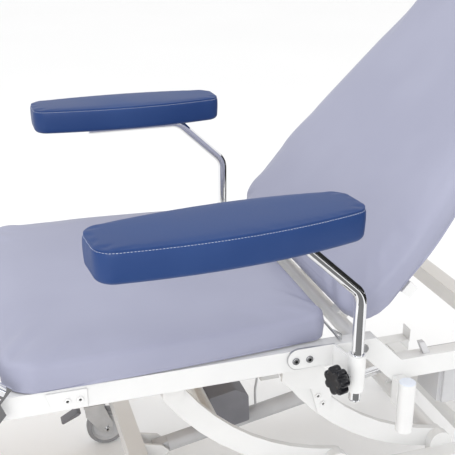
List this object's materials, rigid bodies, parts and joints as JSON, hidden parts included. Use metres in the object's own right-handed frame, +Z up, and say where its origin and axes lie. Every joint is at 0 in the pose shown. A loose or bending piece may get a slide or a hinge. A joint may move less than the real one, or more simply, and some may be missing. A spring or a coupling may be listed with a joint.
{
  "type": "patient recliner chair",
  "caption": "Hospital recliner with lifting seat, reclining back, folding leg section, swivelling padded armrests on bent chromed tubes, and a castor base.",
  "frame": {"origin": "on the floor, under the centre of the chair's bounding box; the chair's own centre plane is at X = -12 mm, because one armrest is turned outward", "axes": "+X to the patient's left, +Y towards the head end, +Z up"},
  "size_m": [0.9944, 1.4778, 1.1607],
  "materials": {
    "white_frame": "satin",
    "chrome": "polished",
    "zinc": "satin",
    "blue_upholstery": "satin",
    "lavender_upholstery": "satin",
    "plywood": "matte",
    "black_plastic": "gloss",
    "dark_plastic": "satin",
    "grey_plastic": "satin",
    "grey_rubber": "matte"
  },
  "bodies": {
    "base": {"base_left_rail": "white_frame", "base_right_rail": "white_frame", "base_front_cross": "white_frame", "base_rear_cross": "white_frame"},
    "castor_front_left": {"castor_front_left_fork": "zinc"},
    "wheel_front_left": {"castor_front_left_wheel": "grey_rubber"},
    "pedal_front_left": {"castor_front_left_pedal": "dark_plastic"},
    "castor_front_right": {"castor_front_right_fork": "zinc"},
    "wheel_front_right": {"castor_front_right_wheel": "grey_rubber"},
    "pedal_front_right": {"castor_front_right_pedal": "dark_plastic"},
    "castor_rear_left": {"castor_rear_left_fork": "zinc"},
    "wheel_rear_left": {"castor_rear_left_wheel": "grey_rubber"},
    "castor_rear_right": {"castor_rear_right_fork": "zinc"},
    "wheel_rear_right": {"castor_rear_right_wheel": "grey_rubber"},
    "front_arm": {"front_lift_arm": "white_frame"},
    "rear_arm": {"rear_lift_arm": "white_frame"},
    "lift_actuator": {"lift_actuator_tube": "grey_plastic", "lift_motor_housing": "dark_plastic", "lift_motor_lead": "grey_plastic"},
    "lift_rod": {"lift_actuator_rod": "chrome"},
    "seat_frame": {"seat_left_rail": "white_frame", "seat_right_rail": "white_frame", "seat_front_cross": "white_frame", "seat_rear_cross": "white_frame", "head_cross": "white_frame", "seat_board": "plywood", "seat_cushion": "lavender_upholstery", "control_box": "grey_plastic", "pole_socket": "white_frame", "cushion_retainer": "zinc", "left_back_stop": "grey_rubber", "right_back_stop": "grey_rubber", "left_back_hinge_pin": "zinc", "right_back_hinge_pin": "zinc", "left_arm_bracket": "white_frame", "right_arm_bracket": "white_frame", "left_bracket_screw_1": "chrome", "left_bracket_screw_2": "chrome", "right_bracket_screw_1": "chrome", "right_bracket_screw_2": "chrome"},
    "back": {"back_frame": "white_frame", "back_board": "plywood", "back_cushion": "lavender_upholstery"},
    "back_actuator": {"back_actuator_tube": "grey_plastic", "back_motor_housing": "dark_plastic"},
    "back_rod": {"back_actuator_rod": "chrome"},
    "leg": {"leg_frame": "white_frame", "leg_board": "plywood", "leg_cushion": "lavender_upholstery", "left_leg_handle": "chrome", "right_leg_handle": "chrome"},
    "left_arm_post": {"left_tube_plug": "chrome"},
    "left_arm": {"left_arm_tube": "chrome", "left_arm_pad": "blue_upholstery"},
    "left_knob": {"left_clamp_knob": "black_plastic"},
    "right_arm_post": {"right_tube_plug": "chrome"},
    "right_arm": {"right_arm_tube": "chrome", "right_arm_pad": "blue_upholstery"},
    "right_knob": {"right_clamp_knob": "black_plastic"}
  },
  "joints": [
    {"name": "swivel_front_left", "type": "hinge", "parent": "base", "child": "castor_front_left", "pos_m": [0.233, -0.1886, 0.125], "axis": [0, 0, 1], "continuous": true},
    {"name": "roll_front_left", "type": "hinge", "parent": "castor_front_left", "child": "wheel_front_left", "pos_m": [0.233, -0.1566, 0.05], "axis": [1, 0, 0], "continuous": true},
    {"name": "brake_front_left", "type": "hinge", "parent": "castor_front_left", "child": "pedal_front_left", "pos_m": [0.233, -0.2186, 0.1027], "axis": [1, 0, 0], "range_deg": [0, 14]},
    {"name": "swivel_front_right", "type": "hinge", "parent": "base", "child": "castor_front_right", "pos_m": [-0.257, -0.1886, 0.125], "axis": [0, 0, 1], "continuous": true},
    {"name": "roll_front_right", "type": "hinge", "parent": "castor_front_right", "child": "wheel_front_right", "pos_m": [-0.257, -0.1566, 0.05], "axis": [1, 0, 0], "continuous": true},
    {"name": "brake_front_right", "type": "hinge", "parent": "castor_front_right", "child": "pedal_front_right", "pos_m": [-0.257, -0.2186, 0.1027], "axis": [1, 0, 0], "range_deg": [0, 14]},
    {"name": "swivel_rear_left", "type": "hinge", "parent": "base", "child": "castor_rear_left", "pos_m": [0.233, 0.6514, 0.125], "axis": [0, 0, 1], "continuous": true},
    {"name": "roll_rear_left", "type": "hinge", "parent": "castor_rear_left", "child": "wheel_rear_left", "pos_m": [0.233, 0.6834, 0.05], "axis": [1, 0, 0], "continuous": true},
    {"name": "swivel_rear_right", "type": "hinge", "parent": "base", "child": "castor_rear_right", "pos_m": [-0.257, 0.6514, 0.125], "axis": [0, 0, 1], "continuous": true},
    {"name": "roll_rear_right", "type": "hinge", "parent": "castor_rear_right", "child": "wheel_rear_right", "pos_m": [-0.257, 0.6834, 0.05], "axis": [1, 0, 0], "continuous": true},
    {"name": "lift", "type": "hinge", "parent": "base", "child": "front_arm", "pos_m": [-0.012, 0.2794, 0.172], "axis": [-1, 0, 0], "range_deg": [-10, 35]},
    {"name": "seat_level", "type": "hinge", "parent": "front_arm", "child": "seat_frame", "pos_m": [-0.012, -0.0816, 0.40599], "axis": [-1, 0, 0], "range_deg": [-36, 11]},
    {"name": "rear_arm_turn", "type": "hinge", "parent": "base", "child": "rear_arm", "pos_m": [-0.012, 0.5324, 0.172], "axis": [-1, 0, 0], "range_deg": [-11, 36]},
    {"name": "lift_actuator_swing", "type": "hinge", "parent": "base", "child": "lift_actuator", "pos_m": [-0.012, -0.0686, 0.136], "axis": [-1, 0, 0], "range_deg": [-3, 5]},
    {"name": "lift_actuator_stroke", "type": "slide", "parent": "lift_actuator", "child": "lift_rod", "axis": [0, 0.9827, 0.1849], "range_m": [-0.022, 0.046]},
    {"name": "back_recline", "type": "hinge", "parent": "seat_frame", "child": "back", "pos_m": [-0.012, 0.2654, 0.521], "axis": [1, 0, 0], "range_deg": [-50, 10]},
    {"name": "back_actuator_swing", "type": "hinge", "parent": "seat_frame", "child": "back_actuator", "pos_m": [-0.012, -0.0286, 0.457], "axis": [1, 0, 0], "range_deg": [-8, 3]},
    {"name": "back_actuator_stroke", "type": "slide", "parent": "back_actuator", "child": "back_rod", "axis": [0, 0.9945, 0.1047], "range_m": [-0.045, 0.015]},
    {"name": "leg_fold", "type": "hinge", "parent": "seat_frame", "child": "leg", "pos_m": [-0.012, -0.4226, 0.518], "axis": [1, 0, 0], "range_deg": [-50, 15]},
    {"name": "left_arm_height", "type": "slide", "parent": "seat_frame", "child": "left_arm_post", "axis": [0, 0, 1], "range_m": [-0.08, 0.018]},
    {"name": "left_arm_swivel", "type": "hinge", "parent": "left_arm_post", "child": "left_arm", "pos_m": [0.3992, 0.2114, 0.561], "axis": [0, 0, 1], "range_deg": [-25, 85]},
    {"name": "left_knob_turn", "type": "hinge", "parent": "seat_frame", "child": "left_knob", "pos_m": [0.3992, 0.2114, 0.521], "axis": [0.2588, -0.9659, 0], "range_deg": [-180, 180]},
    {"name": "right_arm_height", "type": "slide", "parent": "seat_frame", "child": "right_arm_post", "axis": [0, 0, 1], "range_m": [-0.08, 0.018]},
    {"name": "right_arm_swivel", "type": "hinge", "parent": "right_arm_post", "child": "right_arm", "pos_m": [-0.4232, 0.2114, 0.561], "axis": [0, 0, 1], "range_deg": [-85, 25]},
    {"name": "right_knob_turn", "type": "hinge", "parent": "seat_frame", "child": "right_knob", "pos_m": [-0.4232, 0.2114, 0.521], "axis": [-0.2588, -0.9659, 0], "range_deg": [-180, 180]}
  ],
  "couplings": [
    {"joint": "seat_level", "follows": "lift", "ratio": -1},
    {"joint": "rear_arm_turn", "follows": "lift", "ratio": 1},
    {"joint": "lift_actuator_swing", "follows": "lift", "ratio": 0.0924},
    {"joint": "lift_actuator_stroke", "follows": "lift", "m_per_rad": 0.0676},
    {"joint": "back_actuator_swing", "follows": "back_recline", "ratio": 0.143},
    {"joint": "back_actuator_stroke", "follows": "back_recline", "m_per_rad": 0.0463}
  ]
}
